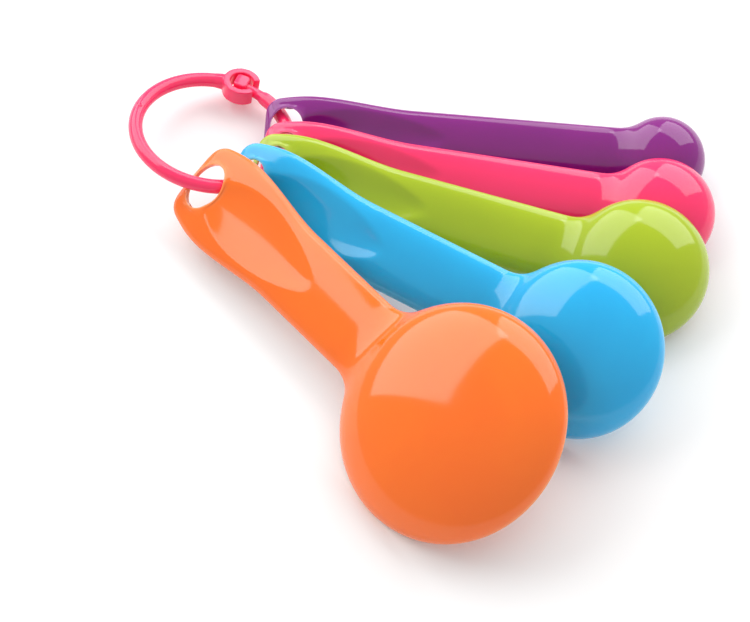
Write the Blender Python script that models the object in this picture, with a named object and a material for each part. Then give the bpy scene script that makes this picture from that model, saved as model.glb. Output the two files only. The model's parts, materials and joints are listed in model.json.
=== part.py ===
# A nest of five measuring scoops, threaded on a split key ring and lying face down, fanned out.
# Metres, +Z up. The scoops' bowls stand on the plane z = 0.

import math

import bmesh
import bpy
import numpy as np
from mathutils import Matrix, Vector

MM = 0.001

# Scoop moulding. Each bowl's inside is half an ellipsoid of exactly the stated capacity.
WALL = 1.2 * MM
TIP_REACH = 5.6 * MM            # hanging hole to the handle's end
TIP_HALF_WIDTH = 9.4 * MM
TIP_CORNER = 3.2 * MM
PALM_HALF_WIDTH = 12.1 * MM     # the widest place, just past the hole
PALM_AT = 7.0 * MM
NECK_HALF_WIDTH = 9.8 * MM
NECK_AT = 30.7 * MM
NECK_FILLET = 8.6 * MM
TIP_RISE = 2.1 * MM             # outer height of the handle's channel
PALM_RISE = 2.65 * MM
NECK_RISE = 3.1 * MM
HANDLE_SQUARENESS = 2.8         # exponent of the handle's arch; the bowl's is 2
SMALLER_BY = 0.075              # each smaller scoop's handle is narrower by this share

# Thumb rest, a leaf-shaped dip in the handle's back.
DIP_START = 2.0 * MM
DIP_END = 39.0 * MM
DIP_HALF_WIDTH = 8.4 * MM
DIP_DEPTH = 1.6 * MM

# Key ring and its clasp.
RING_RADIUS = 18.8 * MM         # to the middle of the rod
ROD_RADIUS = 1.75 * MM
RING_SLOPE = (9.2, 10.6)        # degrees the ring falls towards +X and towards +Y
RING_LIFT = 2.7 * MM            # the handles threaded on the ring hold it off the table
PIVOT_ARC = 180.0               # where the ring flexes when it is opened
CLASP_ARC = 68.0
COLLAR_OUTER = 4.6 * MM
COLLAR_INNER = 3.0 * MM
COLLAR_HEIGHT = 4.0 * MM
KNOB_HEIGHT = 4.4 * MM
STEM_RADIUS = 1.3 * MM          # the rod thins to this where it passes the collar's mouth
STEM_TAPER = 4.0                # degrees of arc
CLASP_GAP = 0.4 * MM

# Hanging hole, an oval across the handle, which the ring's rod passes at a slant.
ROD_CLEARANCE = (2.35 * MM, 4.35 * MM)      # room round the rod, along and across the handle
HOLE_HALF_LENGTH = ROD_RADIUS + ROD_CLEARANCE[0]
HOLE_HALF_WIDTH = ROD_RADIUS + ROD_CLEARANCE[1]
HOLE_LAND = 1.6 * MM            # least handle left between the hole and the handle's edge

TOUCHING_GAP = 0.3 * MM

# Name, millilitres, the bowl's inside depth over its radius, millimetres from the hanging hole to
# the bowl's centre, the hole's arc on the ring, heading and lean in degrees, where the rod passes
# the hole (millimetres along and across the handle from its middle), and colour. Lowest first.
SCOOPS = (
    ("quarter_teaspoon_scoop", 1.25, 0.74, 92.0, 9.5, -6.3, 30.5, (0.3, -0.7), (0.30, 0.03, 0.25)),
    ("half_teaspoon_scoop", 2.5, 0.65, 92.0, -18.6, -10.9, 20.1, (0.3, -0.2), (1.0, 0.08, 0.22)),
    ("teaspoon_scoop", 5.0, 0.59, 91.6, -37.6, -18.8, 20.6, (0.2, -0.1), (0.46, 0.55, 0.05)),
    ("half_tablespoon_scoop", 7.5, 0.47, 91.4, -63.7, -32.6, 36.0, (-0.3, -0.3), (0.06, 0.55, 0.84)),
    ("tablespoon_scoop", 15.0, 0.37, 89.0, -93.0, -49.8, 30.5, (0.1, 0.4), (1.0, 0.17, 0.02)),
)
RING_COLOUR = (1.0, 0.07, 0.20)

HANDLE_STATIONS = 20
BOWL_STATIONS = 11
ARCH_STEPS = 14
ROD_SIDES = 12
ROD_STEP = 8.0                  # degrees of arc
COLLAR_STEPS = 16
KNOB_SIDES = 16
HOLE_SIDES = 24
LEAN_SEARCH = 16.0              # degrees either way
LEAN_STEP = 0.25


def smooth(t):
    t = np.clip(t, 0.0, 1.0)
    return t * t * (3.0 - 2.0 * t)


class Scoop:
    """A scoop's sizes, and the shape of its outer skin or, inset by the wall, of its inner one."""

    def __init__(self, name, millilitres, depth_to_radius, reach, arc, heading, lean, rod_offset,
                 colour, size_step):
        self.name = name
        self.reach = reach * MM
        self.arc = arc
        self.heading = heading
        self.lean = lean
        self.rod_offset = rod_offset
        self.colour = colour
        capacity = millilitres * 1e-6
        inner_radius = (3.0 * capacity / (2.0 * math.pi * depth_to_radius)) ** (1.0 / 3.0)
        self.radius = inner_radius + WALL
        self.depth = inner_radius * depth_to_radius + WALL
        share = 1.0 - SMALLER_BY * size_step
        self.tip_width = TIP_HALF_WIDTH * share
        self.palm_width = PALM_HALF_WIDTH * share
        self.neck_width = min(NECK_HALF_WIDTH * share, 0.85 * self.radius)
        self.neck_rise = min(NECK_RISE, 0.85 * self.depth)
        self.hole_width = min(HOLE_HALF_WIDTH, self.tip_width - HOLE_LAND)

    def fillet(self, neck, radius, inset):
        """Where a fillet between the neck and a circle of this radius starts and ends along x."""
        r = NECK_FILLET + inset
        start = self.reach - math.sqrt((radius + r) ** 2 - (neck + r) ** 2)
        end = self.reach - (self.reach - start) * radius / (radius + r)
        return start, end, r

    def half_width(self, x, inset=0.0):
        radius = self.radius - inset
        neck = self.neck_width - inset
        tip_end = inset - TIP_REACH
        grow = np.sin(np.clip((x - tip_end) / (PALM_AT - tip_end), 0.0, 1.0) * math.pi / 2.0)
        tip = self.tip_width - inset + (self.palm_width - self.tip_width) * grow
        waist = self.palm_width - inset - (self.palm_width - self.neck_width) * smooth(
            (x - PALM_AT) / (NECK_AT - PALM_AT))
        width = np.where(x < PALM_AT, tip, waist)
        start, end, r = self.fillet(neck, radius, inset)
        flare = neck + r - np.sqrt(np.clip(r ** 2 - (x - start) ** 2, 0.0, None))
        width = np.where((x > start) & (x <= end), flare, width)
        bowl = np.sqrt(np.clip(radius ** 2 - (x - self.reach) ** 2, 0.0, None))
        width = np.where(x > end, bowl, width)
        corner = TIP_CORNER - inset
        back = 1.0 - np.clip((x - tip_end) / corner, 0.0, 1.0)
        return width - corner * (1.0 - np.sqrt(1.0 - back ** 2))

    def rise(self, x, inset=0.0):
        radius = self.radius - inset
        ratio = (self.depth - inset) / radius
        neck = self.neck_rise - inset
        handle = np.where(
            x < PALM_AT,
            TIP_RISE + (PALM_RISE - TIP_RISE) * smooth((x + TIP_REACH) / (PALM_AT + TIP_REACH)),
            PALM_RISE + (self.neck_rise - PALM_RISE) * smooth((x - PALM_AT) / (NECK_AT - PALM_AT)),
        ) - inset
        start, end, r = self.fillet(neck / ratio, radius, inset)
        flare = ratio * (neck / ratio + r - np.sqrt(np.clip(r ** 2 - (x - start) ** 2, 0.0, None)))
        height = np.where((x > start) & (x <= end), flare, handle)
        bowl = ratio * np.sqrt(np.clip(radius ** 2 - (x - self.reach) ** 2, 0.0, None))
        return np.where(x > end, bowl, height)

    def power(self, x):
        full = self.reach - 0.6 * self.radius
        return 2.0 + (HANDLE_SQUARENESS - 2.0) * (1.0 - smooth((x - NECK_AT) / (full - NECK_AT)))

    def dip(self, x, y):
        along = np.clip((x - DIP_START) / (DIP_END - DIP_START), 0.0, 1.0)
        leaf = np.clip(np.sin(math.pi * along ** 0.8), 0.0, 1.0) ** 0.6
        half = DIP_HALF_WIDTH * self.palm_width / PALM_HALF_WIDTH * leaf
        across = np.clip(np.abs(y) / np.maximum(half, 1e-6), 0.0, 1.0)
        return DIP_DEPTH * (1.0 - across ** 2) ** 1.2 * leaf

    def skin(self, stations, angles, inset=0.0):
        """Points of the skin, one row across the scoop for each station along it."""
        x, angle = np.meshgrid(stations, angles, indexing="ij")
        exponent = 2.0 / self.power(x)
        cosine = np.cos(angle)
        y = self.half_width(x, inset) * np.sign(cosine) * np.abs(cosine) ** exponent
        z = self.rise(x, inset) * np.abs(np.sin(angle)) ** exponent
        return np.stack([x, y, np.maximum(z - self.dip(x, y), 0.0)], axis=-1)

    def height_at(self, x, y, inset=0.0):
        width = np.maximum(self.half_width(x, inset), 1e-7)
        p = self.power(x)
        share = np.clip(1.0 - (np.abs(y) / width) ** p, 0.0, None)
        height = self.rise(x, inset) * share ** (1.0 / p)
        return np.where(np.abs(y) < width, height, -1.0)

    def stations(self, inset=0.0):
        tip = inset - TIP_REACH
        corner = tip + (TIP_CORNER - inset) * np.array([0.0, 0.12, 0.4])
        bowl_start = self.reach - 0.75 * (self.radius - inset)
        handle = np.linspace(tip + TIP_CORNER - inset, bowl_start, HANDLE_STATIONS)
        turn = np.linspace(-math.asin(0.75), math.pi / 2.0, BOWL_STATIONS + 1)[1:-1]
        bowl = self.reach + (self.radius - inset) * np.sin(turn)
        return np.concatenate([corner, handle, bowl])

    def holds(self, points, gap):
        """Which points (in the scoop's own frame) lie in its wall, or closer to it than the gap."""
        x, y, z = points.T
        outer = self.height_at(x, y, -gap)
        inner = self.height_at(x, y, WALL + gap)
        inner = np.where(x < WALL + gap - TIP_REACH, -1.0, inner)
        along = (x > -TIP_REACH - gap) & (x < self.reach + self.radius + gap)
        return along & (z > -gap) & (z < outer + gap) & (z > inner - gap)


def ring_axes():
    """The ring's middle, its axis, and the directions of arc 0 and arc 90."""
    slope_x, slope_y = [math.sin(math.radians(slope)) for slope in RING_SLOPE]
    axis = Vector((slope_x, slope_y, 1.0)).normalized()
    across = Vector((0.0, 1.0, 0.0)).cross(axis).normalized()
    height = RING_RADIUS * math.sqrt(1.0 - axis.z ** 2) + ROD_RADIUS + RING_LIFT
    return Vector((0.0, 0.0, height)), axis, across, axis.cross(across)


def ring_point(arc, radius=RING_RADIUS, lift=0.0):
    middle, axis, across, along = ring_axes()
    angle = math.radians(arc)
    return middle + radius * (math.cos(angle) * across + math.sin(angle) * along) + lift * axis


def turned(scoop, pitch, lean):
    heading = Matrix.Rotation(math.radians(scoop.heading), 4, "Z")
    return heading @ Matrix.Rotation(pitch, 4, "Y") @ Matrix.Rotation(lean, 4, "X")


def placed(scoop, lean):
    """The scoop's place: hole round the rod, and the pitch that sets its bowl on the table."""
    along, across = scoop.rod_offset
    hole = Vector((along * MM, across * MM, 0.5 * (TIP_RISE + PALM_RISE - WALL)))
    rim = scoop.skin(scoop.stations(), np.array([0.0, math.pi])).reshape(-1, 3)
    rim = rim[rim[:, 0] > scoop.reach - scoop.radius]
    low, high = -0.5, 0.5
    for _ in range(40):
        pitch = 0.5 * (low + high)
        turn = turned(scoop, pitch, lean)
        place = Matrix.Translation(ring_point(scoop.arc) - turn.to_3x3() @ hole) @ turn
        heights = rim @ np.array(place.to_3x3())[2] + place.translation.z
        if heights.min() > 0.0:
            low = pitch
        else:
            high = pitch
    return place


def wall_points(scoop):
    """Samples all over a scoop's wall, in its own frame: its two skins and the middle between them."""
    angles = np.linspace(0.0, math.pi, 61)
    layers = []
    for inset in (0.0, 0.5 * WALL, WALL):
        layers.append(scoop.skin(scoop.stations(inset), angles, inset).reshape(-1, 3))
    return np.concatenate(layers)


def moved(points, matrix):
    return points @ np.array(matrix.to_3x3()).T + np.array(matrix.translation)


def clashes(scoop, place, others):
    for other, other_place in others:
        there = other_place.inverted() @ place
        if other.holds(moved(wall_points(scoop), there), TOUCHING_GAP).any():
            return True
        if scoop.holds(moved(wall_points(other), there.inverted()), TOUCHING_GAP).any():
            return True
    return False


def lay_out(scoops):
    """Lay the scoops down from the lowest up, each at the lean nearest its own that clears the rest."""
    laid = []
    for scoop in scoops:
        chosen = placed(scoop, math.radians(scoop.lean))
        for change in sorted(np.arange(-LEAN_SEARCH, LEAN_SEARCH + LEAN_STEP, LEAN_STEP), key=abs):
            place = placed(scoop, math.radians(scoop.lean + change))
            if not clashes(scoop, place, laid):
                chosen = place
                break
        laid.append((scoop, chosen))
    return laid


def centring(laid):
    """The move that puts the middle of the whole set over the frame's origin."""
    angles = np.linspace(0.0, math.pi, ARCH_STEPS + 1)
    points = [moved(scoop.skin(scoop.stations(), angles).reshape(-1, 3), place) for scoop, place in laid]
    rod = [ring_point(arc, RING_RADIUS + ROD_RADIUS) for arc in arc_span(0.0, 360.0)]
    collar = [clasp_frame() @ Vector((x, y, side * 0.5 * COLLAR_HEIGHT))
              for x, y in collar_outline() for side in (-1.0, 1.0)]
    points = np.concatenate(points + [np.array(rod), np.array(collar)])
    middle = 0.5 * (points.min(axis=0) + points.max(axis=0))
    return Matrix.Translation((-middle[0], -middle[1], 0.0))


def material(name, colour):
    made = bpy.data.materials.new(name)
    made.use_nodes = True
    shader = made.node_tree.nodes["Principled BSDF"]
    shader.inputs["Base Color"].default_value = (*colour, 1.0)
    shader.inputs["Roughness"].default_value = 0.18
    shader.inputs["Metallic"].default_value = 0.0
    return made


def add_object(name, bm, place, colour=None):
    bmesh.ops.recalc_face_normals(bm, faces=bm.faces)
    mesh = bpy.data.meshes.new(name)
    bm.to_mesh(mesh)
    bm.free()
    made = bpy.data.objects.new(name, mesh)
    bpy.context.scene.collection.objects.link(made)
    made.matrix_world = place
    if colour is not None:
        mesh.materials.append(material(name, colour))
        mesh.shade_smooth()
        mesh.set_sharp_from_angle(angle=math.radians(35.0))
    return made


def add_pivot(name, place, children):
    """An empty on a joint's axis (its own Z), which turns the pieces given."""
    pivot = bpy.data.objects.new(name, None)
    pivot.empty_display_size = 10.0 * MM
    bpy.context.scene.collection.objects.link(pivot)
    pivot.matrix_world = place
    for child in children:
        child.parent = pivot
        child.matrix_parent_inverse = place.inverted()


def add_tool(target, tool, operation):
    """Cut a shape out of the target, or join it on, and leave the shape itself out of the model."""
    tool.hide_render = True
    tool.display_type = "WIRE"
    cut = target.modifiers.new(tool.name, "BOOLEAN")
    cut.operation = operation
    cut.solver = "EXACT"
    cut.object = tool


def add_rows(bm, points):
    return [[bm.verts.new(point) for point in row] for row in points]


def bridge_rows(bm, rows):
    for first, second in zip(rows, rows[1:]):
        for a, b, c, d in zip(first, first[1:], second[1:], second):
            bm.faces.new((a, b, c, d))


def scoop_mesh(scoop):
    """The scoop's wall: outer skin, inner skin, and the flat rim that joins them all round."""
    bm = bmesh.new()
    angles = np.linspace(0.0, math.pi, ARCH_STEPS + 1)
    outer = add_rows(bm, scoop.skin(scoop.stations(), angles))
    inner = add_rows(bm, scoop.skin(scoop.stations(WALL), angles, WALL))
    poles = []
    for rows, inset in ((outer, 0.0), (inner, WALL)):
        bridge_rows(bm, rows)
        bm.faces.new(rows[0])
        pole = bm.verts.new((scoop.reach + scoop.radius - inset, 0.0, 0.0))
        for a, b in zip(rows[-1], rows[-1][1:]):
            bm.faces.new((a, b, pole))
        poles.append(pole)
    for side in (0, -1):
        outer_edge = [row[side] for row in outer] + [poles[0]]
        inner_edge = [row[side] for row in inner] + [poles[1]]
        bridge_rows(bm, [outer_edge, inner_edge])
    bm.faces.new((outer[0][0], inner[0][0], inner[0][-1], outer[0][-1]))
    return bm


def hole_cutter(scoop, place):
    bm = bmesh.new()
    bmesh.ops.create_cone(bm, cap_ends=True, segments=HOLE_SIDES, radius1=1.0, radius2=1.0, depth=1.0)
    bmesh.ops.scale(bm, verts=bm.verts, vec=(HOLE_HALF_LENGTH, scoop.hole_width, 4.0 * PALM_RISE))
    return add_object(scoop.name + "_hole", bm, place)


def build_scoop(scoop, place):
    made = add_object(scoop.name, scoop_mesh(scoop), place, scoop.colour)
    add_tool(made, hole_cutter(scoop, place), "DIFFERENCE")
    return made


def rod_rows(bm, stations):
    """Rings of points round the rod; each station is an arc and the rod's radius there."""
    rows = []
    for arc, radius in stations:
        row = []
        for step in range(ROD_SIDES):
            turn = 2.0 * math.pi * step / ROD_SIDES
            point = ring_point(arc, RING_RADIUS + radius * math.cos(turn), radius * math.sin(turn))
            row.append(bm.verts.new(point))
        rows.append(row)
    return rows


def rod_mesh(stations):
    bm = bmesh.new()
    rows = rod_rows(bm, stations)
    bridge_rows(bm, [row + [row[0]] for row in rows])
    bm.faces.new(rows[0])
    bm.faces.new(rows[-1])
    return bm


def clasp_frame():
    """The clasp's place: x along the rod towards rising arc, y outwards, z along the ring's axis."""
    ring_axis = ring_axes()[1]
    middle = ring_point(CLASP_ARC)
    outwards = (middle - ring_axes()[0]).normalized()
    forwards = ring_axis.cross(outwards)
    turn = Matrix((forwards, outwards, ring_axis)).transposed().to_4x4()
    return Matrix.Translation(middle) @ turn


def prism(outline, half_height):
    bm = bmesh.new()
    low = bm.faces.new([bm.verts.new((x, y, -half_height)) for x, y in outline])
    lifted = bmesh.ops.extrude_face_region(bm, geom=[low])
    tops = [item for item in lifted["geom"] if isinstance(item, bmesh.types.BMVert)]
    bmesh.ops.translate(bm, verts=tops, vec=(0.0, 0.0, 2.0 * half_height))
    return bm


def collar_outline():
    """A C-shaped collar, whose mouth lets the knob's stem through."""
    sagitta = COLLAR_OUTER ** 2 / (2.0 * RING_RADIUS)
    mouth = STEM_RADIUS + sagitta + CLASP_GAP
    outline = []
    for radius, direction in ((COLLAR_OUTER, 1.0), (COLLAR_INNER, -1.0)):
        half_turn = math.pi - math.asin(mouth / radius)
        for step in range(COLLAR_STEPS + 1):
            angle = direction * half_turn * (2.0 * step / COLLAR_STEPS - 1.0)
            outline.append((radius * math.cos(angle), radius * math.sin(angle)))
    return outline


def knob_mesh():
    radius = COLLAR_INNER - CLASP_GAP
    turns = [2.0 * math.pi * step / KNOB_SIDES for step in range(KNOB_SIDES)]
    return prism([(radius * math.cos(turn), radius * math.sin(turn)) for turn in turns],
                 0.5 * KNOB_HEIGHT)


def arc_span(start, end):
    steps = max(2, round(abs(end - start) / ROD_STEP))
    return [start + (end - start) * step / steps for step in range(steps + 1)]


def degrees_along(length):
    return math.degrees(length / RING_RADIUS)


def build_ring(shift):
    """The ring as two halves, with the flexing stretch at the pivot as a round-ended joint."""
    collar_edge = CLASP_ARC - degrees_along(COLLAR_OUTER + 2.0 * CLASP_GAP)
    end_gap = degrees_along(ROD_RADIUS + TOUCHING_GAP)
    long_way = arc_span(PIVOT_ARC - 360.0 + end_gap, collar_edge - STEM_TAPER)
    stations = [(arc, ROD_RADIUS) for arc in long_way]
    stations += [(arc, STEM_RADIUS) for arc in (collar_edge, CLASP_ARC)]
    stem_half = add_object("ring_stem_half", rod_mesh(stations), shift, RING_COLOUR)
    knob = add_object("knob", knob_mesh(), shift @ clasp_frame())
    add_tool(stem_half, knob, "UNION")

    join = CLASP_ARC + degrees_along(0.5 * (COLLAR_OUTER + COLLAR_INNER))
    stations = [(arc, ROD_RADIUS) for arc in arc_span(join, PIVOT_ARC)]
    for step in range(1, 4):
        angle = math.radians(80.0) * step / 3.0
        reach = degrees_along(ROD_RADIUS * math.sin(angle))
        stations.append((PIVOT_ARC + reach, ROD_RADIUS * math.cos(angle)))
    collar_half = add_object("ring_collar_half", rod_mesh(stations), shift, RING_COLOUR)
    collar = add_object("collar", prism(collar_outline(), 0.5 * COLLAR_HEIGHT), shift @ clasp_frame())
    add_tool(collar_half, collar, "UNION")
    return collar_half


def ring_turning_place():
    """The ring's own axis, round which a scoop slides along the rod."""
    middle, axis, across, along = ring_axes()
    turn = Matrix((across, along, axis)).transposed().to_4x4()
    return Matrix.Translation(middle) @ turn


def clasp_pivot_place():
    """The axis on which the collar lifts off the knob: across the chord to the clasp, in its plane."""
    pivot = ring_point(PIVOT_ARC)
    ring_axis = ring_axes()[1]
    chord = (ring_point(CLASP_ARC) - pivot).normalized()
    hinge = chord.cross(ring_axis)
    turn = Matrix((ring_axis, chord, hinge)).transposed().to_4x4()
    return Matrix.Translation(pivot) @ turn


def clear_scene():
    for old in list(bpy.data.objects):
        bpy.data.objects.remove(old, do_unlink=True)


def main():
    clear_scene()
    scoops = [Scoop(*sizes, len(SCOOPS) - 1 - place_in_set)
              for place_in_set, sizes in enumerate(SCOOPS)]
    laid = lay_out(scoops)
    shift = centring(laid)
    smallest, *others = [build_scoop(scoop, shift @ place) for scoop, place in laid]
    collar_half = build_ring(shift)
    add_pivot("fan_pivot", shift @ ring_turning_place(), others)
    add_pivot("clasp_pivot", shift @ clasp_pivot_place(), [collar_half])


main()
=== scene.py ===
import json
import math

import bmesh
import bpy
from mathutils import Matrix, Vector


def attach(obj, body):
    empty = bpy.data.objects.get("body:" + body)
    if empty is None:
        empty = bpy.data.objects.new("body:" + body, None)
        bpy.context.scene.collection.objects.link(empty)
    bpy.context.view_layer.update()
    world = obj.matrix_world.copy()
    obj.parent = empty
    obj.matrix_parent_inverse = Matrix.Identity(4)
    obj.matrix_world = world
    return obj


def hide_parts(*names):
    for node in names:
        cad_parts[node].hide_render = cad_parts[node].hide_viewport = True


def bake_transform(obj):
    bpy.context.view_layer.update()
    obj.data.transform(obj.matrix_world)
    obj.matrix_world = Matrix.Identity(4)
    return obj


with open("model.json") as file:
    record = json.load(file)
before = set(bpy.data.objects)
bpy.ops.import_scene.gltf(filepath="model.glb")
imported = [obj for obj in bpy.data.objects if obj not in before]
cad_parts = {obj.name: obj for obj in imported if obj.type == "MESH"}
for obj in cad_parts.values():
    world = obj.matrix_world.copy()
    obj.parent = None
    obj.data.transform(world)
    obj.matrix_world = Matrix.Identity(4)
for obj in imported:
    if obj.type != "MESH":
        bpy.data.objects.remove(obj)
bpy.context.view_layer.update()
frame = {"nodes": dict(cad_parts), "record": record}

record = frame["record"]
mm = 0.001


def clamp(value, low=0.0, high=1.0):
    return max(low, min(high, value))


def ease(value):
    value = clamp(value)
    return value * value * (3.0 - 2.0 * value)


def linearColour(code):
    # sRGB hex to the linear values the shader wants
    channels = [int(code[i:i + 2], 16) / 255.0 for i in (1, 3, 5)]
    linear = [c / 12.92 if c <= 0.04045 else ((c + 0.055) / 1.055) ** 2.4 for c in channels]
    return (*linear, 1.0)


def addNode(tree, kind, settings=None, values=None, links=None):
    # settings are node properties, values fill sockets, links are {socket: output}
    node = tree.nodes.new(kind)
    for name, value in (settings or {}).items():
        setattr(node, name, value)
    for name, value in (values or {}).items():
        node.inputs[name].default_value = value
    for name, output in (links or {}).items():
        tree.links.new(output, node.inputs[name])
    return node


def finishPiece(name, bm, place, body, material, nodes=()):
    # the place goes into the mesh, so the object itself stays at the origin
    mesh = bpy.data.meshes.new(name)
    bm.to_mesh(mesh)
    bm.free()
    mesh.transform(place)
    mesh.materials.append(material)
    mesh.shade_smooth()
    piece = bpy.data.objects.new(name, mesh)
    bpy.context.scene.collection.objects.link(piece)
    if body:
        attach(piece, body)
    if nodes:
        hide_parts(*nodes)
    return piece


mouldedPlastic = {
    "roughness": 0.09,        # gloss off a polished steel mould
    "ior": 1.52,
    "orangePeel": 1.6,        # mm, the slight waviness a glossy moulding keeps
    "flowLength": 22.0,       # mm, long drifts in shade where the melt ran
    "scuffWidth": 0.35,       # mm, hairline wear from knocking about in a drawer
    "edgeHighlightPaint": 0.55,         # painted highlight: how much paler the thin edges are painted
}


def polypropylene(name, face, edge, deep, settings=mouldedPlastic):
    # injection-moulded polypropylene: a full-bodied colour under a clear even gloss, with edge as the colour
    # of a painted highlight along the rim and round the hole
    material = bpy.data.materials.new(name)
    material.use_nodes = True
    tree = material.node_tree
    shader = tree.nodes["Principled BSDF"]
    shader.inputs["IOR"].default_value = settings["ior"]
    shader.inputs["Subsurface Weight"].default_value = 0.12
    shader.inputs["Subsurface Radius"].default_value = (1.0, 0.6, 0.5)
    shader.inputs["Subsurface Scale"].default_value = 1.2 * mm
    shader.inputs["Coat Weight"].default_value = 0.25
    shader.inputs["Coat Roughness"].default_value = 0.05

    place = addNode(tree, "ShaderNodeTexCoord").outputs["Object"]
    perMm = 1.0 / mm
    flow = addNode(tree, "ShaderNodeTexNoise", {"noise_dimensions": "3D"},
                   {"Scale": perMm / settings["flowLength"], "Detail": 3.0, "Distortion": 0.8},
                   {"Vector": place})
    peel = addNode(tree, "ShaderNodeTexNoise", {},
                   {"Scale": perMm / settings["orangePeel"], "Detail": 2.0, "Roughness": 0.4},
                   {"Vector": place})
    stretched = addNode(tree, "ShaderNodeMapping", {},
                        {"Rotation": (0.3, 0.2, 0.7), "Scale": (1.0, 0.06, 0.06)}, {"Vector": place})
    scuff = addNode(tree, "ShaderNodeTexNoise", {},
                    {"Scale": perMm / settings["scuffWidth"], "Detail": 4.0, "Roughness": 0.7},
                    {"Vector": stretched.outputs["Vector"]})
    # mask of the painted edge highlight, on the rim and round the hole
    thin = addNode(tree, "ShaderNodeAttribute", {"attribute_name": "edgeHighlightMask"})

    # colour: a slow drift towards the deeper shade, then a painted highlight: paler at the thin edges
    drift = addNode(tree, "ShaderNodeMapRange", {},
                    {"From Min": 0.35, "From Max": 0.7, "To Min": 0.0, "To Max": 0.30},
                    {"Value": flow.outputs["Fac"]})
    body = addNode(tree, "ShaderNodeMix", {"data_type": "RGBA"}, {}, {"Factor": drift.outputs["Result"]})
    body.inputs[6].default_value = linearColour(face)
    body.inputs[7].default_value = linearColour(deep)
    # painted highlight: the pale edge colour mixed in along the rim and round the hole
    highlightShare = addNode(tree, "ShaderNodeMath", {"operation": "MULTIPLY"}, {1: settings["edgeHighlightPaint"]},
                   {0: thin.outputs["Fac"]})
    paintedHighlight = addNode(tree, "ShaderNodeMix", {"data_type": "RGBA"}, {}, {"Factor": highlightShare.outputs["Value"]})
    tree.links.new(body.outputs[2], paintedHighlight.inputs[6])
    paintedHighlight.inputs[7].default_value = linearColour(edge)
    tree.links.new(paintedHighlight.outputs[2], shader.inputs["Base Color"])

    # gloss: mostly even, with faint hairlines and handling marks
    hairline = addNode(tree, "ShaderNodeMapRange", {},
                       {"From Min": 0.62, "From Max": 0.78, "To Min": 0.0, "To Max": 0.10},
                       {"Value": scuff.outputs["Fac"]})
    handled = addNode(tree, "ShaderNodeMapRange", {},
                      {"From Min": 0.3, "From Max": 0.75, "To Min": settings["roughness"] - 0.02,
                       "To Max": settings["roughness"] + 0.05}, {"Value": flow.outputs["Fac"]})
    rough = addNode(tree, "ShaderNodeMath", {"operation": "ADD", "use_clamp": True}, {},
                    {0: handled.outputs["Result"], 1: hairline.outputs["Result"]})
    tree.links.new(rough.outputs["Value"], shader.inputs["Roughness"])

    height = addNode(tree, "ShaderNodeMath", {"operation": "MULTIPLY_ADD"}, {1: 0.12},
                     {0: scuff.outputs["Fac"], 2: peel.outputs["Fac"]})
    bump = addNode(tree, "ShaderNodeBump", {}, {"Strength": 0.05, "Distance": 0.05 * mm},
                   {"Height": height.outputs["Value"]})
    tree.links.new(bump.outputs["Normal"], shader.inputs["Normal"])
    return material


scoopMoulding = {
    "wall": 1.2 * mm,
    "tipReach": 5.6 * mm,
    "tipHalfWidth": 9.4 * mm,
    "tipCorner": 3.2 * mm,
    "tipRound": 2.4 * mm,        # how softly the handle's back rolls over its end
    "palmHalfWidth": 12.1 * mm,
    "palmAt": 7.0 * mm,
    "neckHalfWidth": 9.8 * mm,
    "neckAt": 30.7 * mm,
    "neckLimit": 0.85,           # most of the bowl's radius and depth that the neck may have
    "neckFillet": 8.6 * mm,
    "tipRise": 2.1 * mm,
    "palmRise": 2.65 * mm,
    "neckRise": 3.1 * mm,
    "squareness": 2.8,
    "smallerBy": 0.075,
    "holeHalfLength": 4.1 * mm,
    "holeHalfWidth": 6.1 * mm,
    "holeLand": 1.6 * mm,
    "holeLip": 0.30 * mm,        # soft raised edge round the hole
    "edgeRound": 0.28 * mm,
    "tipRows": 7,
    "handleRows": 74,
    "bowlRows": 20,
    "across": 44,
}

thumbRest = {"start": 2.0 * mm, "end": 39.0 * mm, "halfWidth": 8.4 * mm, "depth": 1.6 * mm}

# each scoop's edge colour is a painted highlight along its rim and round its hole
scoopSet = {
    "tablespoon": {"millilitres": 15.0, "depthToRadius": 0.37, "reach": 89.0 * mm, "step": 0,
                   "face": "#FF7208", "edge": "#FFBC7C", "deep": "#FA6406"},
    "half_tablespoon": {"millilitres": 7.5, "depthToRadius": 0.47, "reach": 91.4 * mm, "step": 1,
                        "face": "#12B2EC", "edge": "#9BE9FF", "deep": "#0CA0DE"},
    "teaspoon": {"millilitres": 5.0, "depthToRadius": 0.59, "reach": 91.6 * mm, "step": 2,
                 "face": "#A8BE10", "edge": "#E6EE90", "deep": "#9AB00C"},
    "half_teaspoon": {"millilitres": 2.5, "depthToRadius": 0.65, "reach": 92.0 * mm, "step": 3,
                      "face": "#FF2F6C", "edge": "#FFA0BC", "deep": "#F4245E"},
    "quarter_teaspoon": {"millilitres": 1.25, "depthToRadius": 0.74, "reach": 92.0 * mm, "step": 4,
                         "face": "#84127E", "edge": "#C98ACB", "deep": "#701070"},
}


def scoopSizes(details, form=scoopMoulding):
    # the bowl's inside is half an ellipsoid that holds exactly its measure
    capacity = details["millilitres"] * 1e-6
    inside = (3.0 * capacity / (2.0 * math.pi * details["depthToRadius"])) ** (1.0 / 3.0)
    share = 1.0 - form["smallerBy"] * details["step"]
    size = dict(form)
    size["reach"] = details["reach"]
    size["radius"] = inside + form["wall"]
    size["depth"] = inside * details["depthToRadius"] + form["wall"]
    size["tip"] = form["tipHalfWidth"] * share
    size["palm"] = form["palmHalfWidth"] * share
    size["neck"] = min(form["neckHalfWidth"] * share, form["neckLimit"] * size["radius"])
    size["neckHeight"] = min(form["neckRise"], form["neckLimit"] * size["depth"])
    size["hole"] = min(form["holeHalfWidth"], size["tip"] - form["holeLand"])
    return size


def filletSpan(size, neck, radius, inset):
    r = size["neckFillet"] + inset
    start = size["reach"] - math.sqrt((radius + r) ** 2 - (neck + r) ** 2)
    end = size["reach"] - (size["reach"] - start) * radius / (radius + r)
    return start, end, r


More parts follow.
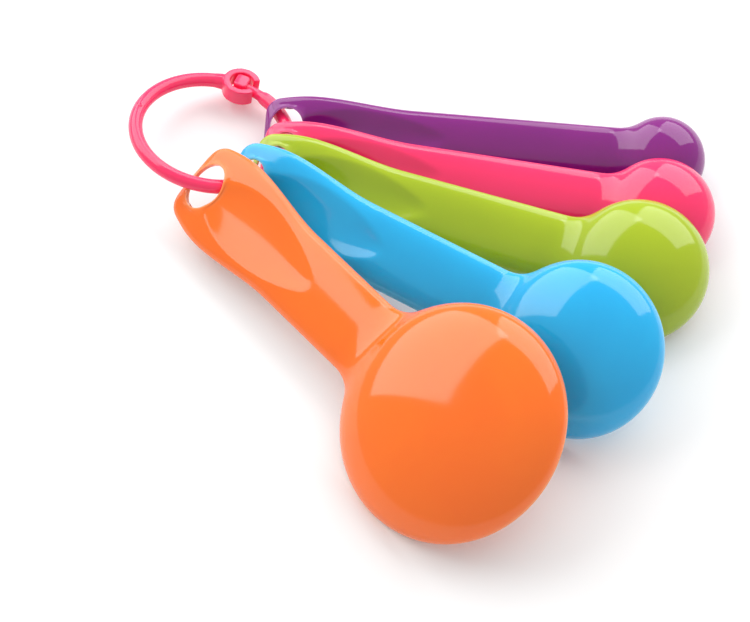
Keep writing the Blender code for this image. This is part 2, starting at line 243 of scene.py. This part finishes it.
def halfWidth(size, x, inset=0.0):
    radius = size["radius"] - inset
    neck = size["neck"] - inset
    tipEnd = 0.65 * inset - size["tipReach"]
    start, end, r = filletSpan(size, neck, radius, inset)
    if x > end:
        return math.sqrt(max(radius ** 2 - (x - size["reach"]) ** 2, 0.0))
    if x > start:
        return neck + r - math.sqrt(max(r ** 2 - (x - start) ** 2, 0.0))
    if x > size["palmAt"]:
        waist = ease((x - size["palmAt"]) / (size["neckAt"] - size["palmAt"]))
        return size["palm"] - inset - (size["palm"] - size["neck"]) * waist
    grow = math.sin(clamp((x - tipEnd) / (size["palmAt"] - tipEnd)) * math.pi / 2.0)
    width = size["tip"] - inset + (size["palm"] - size["tip"]) * grow
    corner = size["tipCorner"] - inset
    back = 1.0 - clamp((x - tipEnd) / corner)
    return width - corner * (1.0 - math.sqrt(1.0 - back ** 2))


def riseAt(size, x, inset=0.0):
    radius = size["radius"] - inset
    ratio = (size["depth"] - inset) / radius
    neck = size["neckHeight"] - inset
    start, end, r = filletSpan(size, neck / ratio, radius, inset)
    if x > end:
        return ratio * math.sqrt(max(radius ** 2 - (x - size["reach"]) ** 2, 0.0))
    if x > start:
        return ratio * (neck / ratio + r - math.sqrt(max(r ** 2 - (x - start) ** 2, 0.0)))
    if x > size["palmAt"]:
        climb = ease((x - size["palmAt"]) / (size["neckAt"] - size["palmAt"]))
        return size["palmRise"] + (size["neckHeight"] - size["palmRise"]) * climb - inset
    climb = ease((x + size["tipReach"]) / (size["palmAt"] + size["tipReach"]))
    flat = size["tipRise"] + (size["palmRise"] - size["tipRise"]) * climb - inset
    tipEnd = 0.65 * inset - size["tipReach"]
    back = 1.0 - clamp((x - tipEnd) / (size["tipRound"] - 0.5 * inset))
    return flat * (1.0 - back ** 2.4) ** (1.0 / 2.4)


def squareAt(size, x):
    full = size["reach"] - 0.6 * size["radius"]
    return 2.0 + (size["squareness"] - 2.0) * (1.0 - ease((x - size["neckAt"]) / (full - size["neckAt"])))


def dipAt(size, x, y):
    along = clamp((x - thumbRest["start"]) / (thumbRest["end"] - thumbRest["start"]))
    leaf = clamp(math.sin(math.pi * along ** 0.8)) ** 0.6
    half = thumbRest["halfWidth"] * size["palm"] / size["palmHalfWidth"] * leaf
    sideways = clamp(abs(y) / max(half, 1e-6))
    return thumbRest["depth"] * (1.0 - sideways ** 2) ** 1.2 * leaf


def heightAt(size, x, y, inset=0.0):
    width = max(halfWidth(size, x, inset), 1e-7)
    power = squareAt(size, x)
    share = max(1.0 - min(abs(y) / width, 1.0) ** power, 0.0)
    return max(riseAt(size, x, inset) * share ** (1.0 / power) - dipAt(size, x, y), 0.0)


def skinPoint(size, row, t, inset=0.0):
    # row counts along the scoop from its tip, t runs across it from -1 to 1
    tipEnd = 0.65 * inset - size["tipReach"]
    tipRows, handleRows, bowlRows = size["tipRows"], size["handleRows"], size["bowlRows"]
    if row > tipRows + handleRows:
        # the far half of the bowl is a square bent into a half disc, so it needs no pole
        u = (row - tipRows - handleRows) / bowlRows
        planX, planY = u * math.sqrt(1.0 - 0.5 * t * t), t * math.sqrt(1.0 - 0.5 * u * u)
        out = min(math.hypot(planX, planY), 1.0)
        spread = math.sin(0.5 * math.pi * out) / max(out, 1e-9)
        radius, depth = size["radius"] - inset, size["depth"] - inset
        return Vector((size["reach"] + radius * planX * spread, radius * planY * spread,
                       depth * math.cos(0.5 * math.pi * out)))
    if row <= tipRows:
        x = tipEnd + (size["tipCorner"] - inset) * (1.0 - math.cos(0.5 * math.pi * row / tipRows))
    else:
        share = (row - tipRows) / handleRows
        start = tipEnd + size["tipCorner"] - inset
        x = start + (size["reach"] - start) * (0.86 * share + 0.14 * share ** 0.5 * share)
    exponent = 2.0 / squareAt(size, x)
    angle = 0.5 * math.pi * t
    y = halfWidth(size, x, inset) * math.copysign(abs(math.sin(angle)) ** exponent, t)
    z = riseAt(size, x, inset) * abs(math.cos(angle)) ** exponent
    return Vector((x, y, max(z - dipAt(size, x, y), 0.0)))


def holePoint(size, turn, oval, inset, lift):
    # a point on an oval this many times as big as the hole
    x, y = size["holeHalfLength"] * oval * math.cos(turn), size["hole"] * oval * math.sin(turn)
    return Vector((x, y, heightAt(size, x, y, inset) + lift))


def scoopSkin(bm, size):
    # the outer skin: a grid bent to shape, with a block of its faces drawn in to the oval hole
    rows = size["tipRows"] + size["handleRows"] + size["bowlRows"]
    marks = {key: bm.verts.layers.float.new(key) for key in ("row", "across", "oval", "turn")}
    grid = bmesh.ops.create_grid(bm, x_segments=rows, y_segments=size["across"], size=0.5)["verts"]
    for vert in grid:
        row, across = round((vert.co.x + 0.5) * rows), 2.0 * vert.co.y
        vert[marks["row"]], vert[marks["across"]] = row, across
        vert.co = skinPoint(size, row, across)
    long, wide = size["holeHalfLength"] + 0.6 * mm, size["hole"] + 0.6 * mm
    block = [face for face in bm.faces
             if abs(face.calc_center_median().x) < long and abs(face.calc_center_median().y) < wide]
    bmesh.ops.delete(bm, geom=block, context="FACES")
    loop = [edge for edge in bm.edges if edge.is_boundary
            and all(0 < v[marks["row"]] < 0.5 * rows and abs(v[marks["across"]]) < 0.999 for v in edge.verts)]
    for vert in {vert for edge in loop for vert in edge.verts}:
        vert[marks["turn"]] = math.atan2(vert.co.y / size["hole"], vert.co.x / size["holeHalfLength"])
    for oval, lift in ((1.15, 0.7), (1.06, 1.0), (1.0, 0.8)):
        fresh = bmesh.ops.extrude_edge_only(bm, edges=loop)["geom"]
        loop = [item for item in fresh if isinstance(item, bmesh.types.BMEdge) and item.is_boundary]
        for vert in {vert for edge in loop for vert in edge.verts}:
            vert[marks["oval"]] = oval
            vert.co = holePoint(size, vert[marks["turn"]], oval, 0.0, size["holeLip"] * lift)
    return marks


def scoopWall(bm, size, marks):
    # the skin is drawn inwards as one region, which also makes the rim and the hole's own wall
    drawn = bmesh.ops.extrude_face_region(bm, geom=list(bm.faces), use_keep_orig=True)["geom"]
    inner = [item for item in drawn if isinstance(item, bmesh.types.BMVert)]
    for vert in inner:
        oval = vert[marks["oval"]]
        if oval:
            vert.co = holePoint(size, vert[marks["turn"]], 1.0 + 0.25 * (oval - 1.0), size["wall"], 0.0)
        else:
            vert.co = skinPoint(size, vert[marks["row"]], vert[marks["across"]], size["wall"])
    crease = bm.edges.layers.float.new("bevel_weight_edge")
    inside = set(inner)
    for edge in bm.edges:
        counts = [sum(vert in inside for vert in face.verts) for face in edge.link_faces]
        # a joining face has two verts of the inner skin, a face of either skin has none or four
        if len(counts) == 2 and 2 in counts and (4 in counts or 0 in counts):
            edge[crease] = 1.0
    bmesh.ops.recalc_face_normals(bm, faces=bm.faces)


def markEdgeHighlight(mesh, size, place):
    # mask for the painted edge highlight: 1 on the rim and round the hole, fading over about a wall's
    # thickness
    back = place.inverted()
    layer = mesh.attributes.new("edgeHighlightMask", "FLOAT", "POINT")
    for i, vert in enumerate(mesh.vertices):
        spot = back @ vert.co
        rim = math.exp(-max(spot.z, 0.0) / (0.45 * mm))
        ring = math.hypot(spot.x / size["holeHalfLength"], spot.y / size["hole"]) - 1.0
        layer.data[i].value = max(rim, 0.8 * math.exp(-max(ring, 0.0) / 0.08))


def scoopPlace(name, size):
    # rim point and rim direction from the record, handle direction from the solid's own balance
    mount = next(m for m in record["mounts"] if m["name"] == name + "_rim")
    up = -Vector(mount["axis"]).normalized()
    rim = Vector(mount["pos_m"])
    mesh = frame["nodes"][name + "_scoop"].data
    balance = Vector()
    area = 0.0
    for face in mesh.polygons:
        balance += face.center * face.area
        area += face.area
    along = rim - balance / area
    along = (along - up * along.dot(up)).normalized()
    middle = rim - along * (size["reach"] + size["radius"] - 0.5 * size["wall"])
    turn = Matrix((along, up.cross(along), up)).transposed().to_4x4()
    return Matrix.Translation(middle) @ turn


def makeScoop(name, details):
    size = scoopSizes(details)
    place = scoopPlace(name, size)
    bm = bmesh.new()
    scoopWall(bm, size, scoopSkin(bm, size))
    plastic = polypropylene(name + "_polypropylene", details["face"], details["edge"], details["deep"])
    piece = finishPiece(name + "_moulding", bm, place, name, plastic, (name + "_scoop",))
    markEdgeHighlight(piece.data, size, place)
    rounding = piece.modifiers.new("softened edges", "BEVEL")
    rounding.limit_method = "WEIGHT"
    rounding.width = size["edgeRound"]
    rounding.segments = 2
    smooth = piece.modifiers.new("smooth skin", "SUBSURF")
    smooth.levels = smooth.render_levels = 1
    print("scoop", name, "radius", round(size["radius"] / mm, 2), "mm")
    return piece


for scoopName, scoopDetails in scoopSet.items():
    makeScoop(scoopName, scoopDetails)


keyRing = {
    "radius": 18.8 * mm,
    "rod": 1.75 * mm,
    "stem": 1.3 * mm,
    "claspArc": 68.0,
    "seamArc": 196.0,            # where the two visible lengths meet, behind the flexing stretch
    "collarOuter": 4.6 * mm,
    "collarInner": 3.0 * mm,
    "collarHeight": 4.0 * mm,
    "knobHeight": 4.4 * mm,
    "knobLength": 1.25,          # along and across the rod, times the room in the collar
    "knobWidth": 1.55,
    "knobCorner": 0.9 * mm,
    "knobEdge": 0.35 * mm,
    "mouthRoom": 0.55 * mm,
    "voxel": 0.14 * mm,
    "sharpAngle": 50.0,
    "gap": 0.4 * mm,
    "arcStep": 2.5,
    "sides": 28,
    "face": "#FF2F68",
    # the painted edge-highlight colour
    "edge": "#FF8FB0",
    "deep": "#F5205A",
}


def ringPlace():
    # x towards arc 0, y towards arc 90, z along the ring's axis
    slide = next(j for j in record["behaviour"]["joints"] if j["name"] == "tablespoon_fan")
    axis = Vector(slide["axis"]).normalized()
    across = Vector((0.0, 1.0, 0.0)).cross(axis).normalized()
    turn = Matrix((across, axis.cross(across), axis)).transposed().to_4x4()
    return Matrix.Translation(Vector(slide["pos_m"])) @ turn


def rodLength(bm, ring, start, end, taper=None):
    # a round section swept along the ring and closed at both ends
    section = bmesh.ops.create_circle(bm, cap_ends=False, segments=ring["sides"], radius=ring["rod"])["verts"]
    stand = Matrix.Rotation(math.radians(start), 4, "Z") @ Matrix.Translation((ring["radius"], 0.0, 0.0)) \
        @ Matrix.Rotation(math.radians(90.0), 4, "X")
    bmesh.ops.transform(bm, matrix=stand, verts=section)
    edges = list({edge for vert in section for edge in vert.link_edges})
    steps = max(2, round((end - start) / ring["arcStep"]))
    bmesh.ops.spin(bm, geom=section + edges, cent=(0, 0, 0), axis=(0, 0, 1),
                   angle=math.radians(end - start), steps=steps, use_duplicate=False)
    if taper:
        for vert in bm.verts:
            arc = math.degrees(math.atan2(vert.co.y, vert.co.x))
            spine = Vector((ring["radius"] * math.cos(math.radians(arc)),
                            ring["radius"] * math.sin(math.radians(arc)), 0.0))
            vert.co = spine + (vert.co - spine) * taper(arc)
    openEnds = [edge for edge in bm.edges if edge.is_boundary]
    bmesh.ops.holes_fill(bm, edges=openEnds, sides=0)
    bmesh.ops.recalc_face_normals(bm, faces=bm.faces)


def claspPlace(ring):
    # x back along the stem, y outwards, z along the ring's axis
    arc = math.radians(ring["claspArc"])
    outwards = Vector((math.cos(arc), math.sin(arc), 0.0))
    turn = Matrix((outwards.cross(Vector((0, 0, 1))), outwards, Vector((0, 0, 1)))).transposed().to_4x4()
    return Matrix.Translation(outwards * ring["radius"]) @ turn


gateMark = {"arc": 163.0, "base": 0.62 * mm, "top": 0.5 * mm, "height": 0.24 * mm,
            "dimple": 0.12 * mm, "land": 0.16 * mm, "edge": 0.03 * mm, "proud": 0.02 * mm}


def makeRing(ring):
    place = ringPlace()
    plastic = polypropylene("ring_polypropylene", ring["face"], ring["edge"], ring["deep"])
    collarEdge = ring["claspArc"] - math.degrees((ring["collarOuter"] + 2.0 * ring["gap"]) / ring["radius"])

    # the stem half: from the seam round to the knob
    bm = bmesh.new()

    def stemTaper(arc):
        thin = ease((arc - collarEdge + 5.0) / 5.0)
        return 1.0 - (1.0 - ring["stem"] / ring["rod"]) * (thin if arc > 0.0 else 0.0)

    rodLength(bm, ring, ring["seamArc"] - 360.0, ring["claspArc"], stemTaper)
    stem = finishPiece("ring_stem_rod", bm, place, "ring_stem", plastic, ("ring_stem_half",))
    stem.data.set_sharp_from_angle(angle=math.radians(ring["sharpAngle"]))

    knob = bmesh.new()
    reach = ring["collarInner"] - ring["gap"]
    bmesh.ops.create_cube(knob, size=1.0)
    knobSize = (ring["knobLength"] * reach, ring["knobWidth"] * reach, ring["knobHeight"])
    bmesh.ops.scale(knob, verts=knob.verts, vec=knobSize)
    upright = [edge for edge in knob.edges
               if abs(edge.verts[0].co.z - edge.verts[1].co.z) > 0.5 * ring["knobHeight"]]
    bmesh.ops.bevel(knob, geom=upright, offset=ring["knobCorner"], segments=6, profile=0.5,
                    affect="EDGES", material=-1)
    flat = [edge for edge in knob.edges if abs(edge.verts[0].co.z - edge.verts[1].co.z) < 1e-6]
    bmesh.ops.bevel(knob, geom=flat, offset=ring["knobEdge"], segments=4, profile=0.5,
                    affect="EDGES", material=-1)
    knobPiece = finishPiece("ring_knob", knob, place @ claspPlace(ring), "ring_stem", plastic)
    knobPiece.data.set_sharp_from_angle(angle=math.radians(ring["sharpAngle"]))

    # the collar half: the rod from beside the collar round to the seam, over the stretch where the whole ring
    # flexes
    bm = bmesh.new()
    join = ring["claspArc"] + math.degrees(ring["collarOuter"] / ring["radius"])
    rodLength(bm, ring, join - 3.0, ring["seamArc"])
    arm = bpy.data.meshes.new("ring_collar_rod")
    bm.to_mesh(arm)
    bm.free()
    arm.transform(place)
    arm.materials.append(plastic)
    arm.shade_smooth()
    arm.set_sharp_from_angle(angle=math.radians(ring["sharpAngle"]))
    rod = bpy.data.objects.new("ring_collar_rod", arm)
    bpy.context.scene.collection.objects.link(rod)
    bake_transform(rod)
    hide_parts("ring_collar_half")

    # the collar: a C spun round the clasp, its back drawn out into the rod
    collar = bmesh.new()
    wall = ring["collarOuter"] - ring["collarInner"]
    mouth = math.asin((ring["stem"] + ring["mouthRoom"] + ring["gap"]) / ring["collarOuter"])
    square = Matrix.Rotation(math.radians(90.0), 3, "X")
    profile = bmesh.ops.create_grid(collar, x_segments=2, y_segments=4, size=0.5)["verts"]
    bmesh.ops.scale(collar, verts=profile, vec=(wall, ring["collarHeight"], 1.0))
    bmesh.ops.rotate(collar, verts=profile, cent=(0, 0, 0), matrix=square)
    middle = 0.5 * (ring["collarOuter"] + ring["collarInner"])
    bmesh.ops.translate(collar, verts=profile, vec=(middle, 0.0, 0.0))
    bmesh.ops.rotate(collar, verts=profile, cent=(0, 0, 0), matrix=Matrix.Rotation(mouth, 3, "Z"))
    section = list(collar.verts) + list(collar.edges) + list(collar.faces)
    bmesh.ops.spin(collar, geom=section, cent=(0, 0, 0), axis=(0, 0, 1),
                   angle=2.0 * math.pi - 2.0 * mouth, steps=40, use_duplicate=False)
    bmesh.ops.recalc_face_normals(collar, faces=collar.faces)
    root = bmesh.new()
    rodLength(root, ring, join - 4.0, join + 12.0,
              lambda arc: 0.97 + 0.16 * ease((join + 10.0 - arc) / 10.0))
    bmesh.ops.transform(root, matrix=claspPlace(ring).inverted(), verts=root.verts)
    rootMesh = bpy.data.meshes.new("collar_root")
    root.to_mesh(rootMesh)
    root.free()
    collar.from_mesh(rootMesh)
    bpy.data.meshes.remove(rootMesh)
    head = finishPiece("ring_collar_clasp", collar, place @ claspPlace(ring), "ring_collar", plastic)
    fuse = head.modifiers.new("one moulding", "REMESH")
    fuse.mode = "VOXEL"
    fuse.voxel_size = ring["voxel"]
    fuse.use_smooth_shade = True
    soften = head.modifiers.new("moulded fillets", "SMOOTH")
    soften.factor = 0.6
    soften.iterations = 9

    # the small witness mark that the mould's gate leaves
    gate = bmesh.new()
    bmesh.ops.create_cone(gate, cap_ends=True, segments=20, radius1=gateMark["base"],
                          radius2=gateMark["top"], depth=gateMark["height"])
    top = max(gate.faces, key=lambda face: face.calc_center_median().z)
    bmesh.ops.inset_region(gate, faces=[top], thickness=gateMark["land"], depth=-gateMark["dimple"])
    bmesh.ops.bevel(gate, geom=list(gate.edges), offset=gateMark["edge"], segments=2, profile=0.5,
                    affect="EDGES", material=-1)
    spot = Matrix.Rotation(math.radians(gateMark["arc"]), 4, "Z") @ Matrix.Translation(
        (ring["radius"], 0.0, ring["rod"] + gateMark["proud"]))
    finishPiece("ring_gate_mark", gate, place @ spot, "ring_collar", plastic)
    print("key ring made")


makeRing(keyRing)


studio = {
    "table": "#F4F4F4",
    "skyStrength": 0.66,
    "softboxes": [
        # azimuth from +Y (right is positive), elevation, distance, width, height, radiance
        {"azimuth": -44.0, "elevation": 38.0, "distance": 0.95,
         "width": 1.10, "height": 0.86, "radiance": 2.3},
        {"azimuth": 37.0, "elevation": 38.0, "distance": 0.95,
         "width": 1.00, "height": 0.86, "radiance": 2.3},
    ],
}

camera = {
    "elevation": 56.73,
    "distance": 0.7806,
    "pixelsPerMetre": 4198.0,    # at the target
    "frameWidth": 750,
    "ringFromTarget": (-39.63 * mm, 46.24 * mm),
}


def makeTable():
    bm = bmesh.new()
    bmesh.ops.create_grid(bm, x_segments=8, y_segments=8, size=1.6)
    mesh = bpy.data.meshes.new("table")
    bm.to_mesh(mesh)
    bm.free()
    table = bpy.data.objects.new("table", mesh)
    bpy.context.scene.collection.objects.link(table)
    paper = bpy.data.materials.new("white_acrylic_sheet")
    paper.use_nodes = True
    shader = paper.node_tree.nodes["Principled BSDF"]
    shader.inputs["Base Color"].default_value = linearColour(studio["table"])
    shader.inputs["Roughness"].default_value = 0.6
    mesh.materials.append(paper)
    table.location.z = -0.1 * mm


def makeLights(target):
    for i, box in enumerate(studio["softboxes"]):
        azimuth, elevation = math.radians(box["azimuth"]), math.radians(box["elevation"])
        away = Vector((math.sin(azimuth) * math.cos(elevation),
                       math.cos(azimuth) * math.cos(elevation),
                       math.sin(elevation)))
        light = bpy.data.lights.new("softbox_%d" % i, "AREA")
        light.shape = "RECTANGLE"
        light.size, light.size_y = box["width"], box["height"]
        light.energy = box["radiance"] * math.pi * box["width"] * box["height"]
        lamp = bpy.data.objects.new("softbox_%d" % i, light)
        bpy.context.scene.collection.objects.link(lamp)
        lamp.location = target + away * box["distance"]
        lamp.rotation_euler = away.to_track_quat("Z", "Y").to_euler()
    world = bpy.data.worlds.new("studio")
    world.use_nodes = True
    world.node_tree.nodes["Background"].inputs["Color"].default_value = (1.0, 1.0, 1.0, 1.0)
    world.node_tree.nodes["Background"].inputs["Strength"].default_value = studio["skyStrength"]
    bpy.context.scene.world = world


def makeCamera():
    ringMiddle = ringPlace().translation
    away = camera["ringFromTarget"]
    target = Vector((ringMiddle.x - away[0], ringMiddle.y - away[1], 0.0))
    tilt = math.radians(camera["elevation"])
    view = bpy.data.cameras.new("camera")
    view.sensor_width = 36.0
    view.lens = camera["pixelsPerMetre"] * camera["distance"] / camera["frameWidth"] * view.sensor_width
    view.clip_start = 0.01
    eye = bpy.data.objects.new("camera", view)
    bpy.context.scene.collection.objects.link(eye)
    eye.location = target + camera["distance"] * Vector((0.0, -math.cos(tilt), math.sin(tilt)))
    eye.rotation_euler = (math.radians(90.0) - tilt, 0.0, 0.0)
    bpy.context.scene.camera = eye
    return target


makeTable()
makeLights(makeCamera())
bpy.context.scene.view_settings.view_transform = "Standard"
print("studio made")
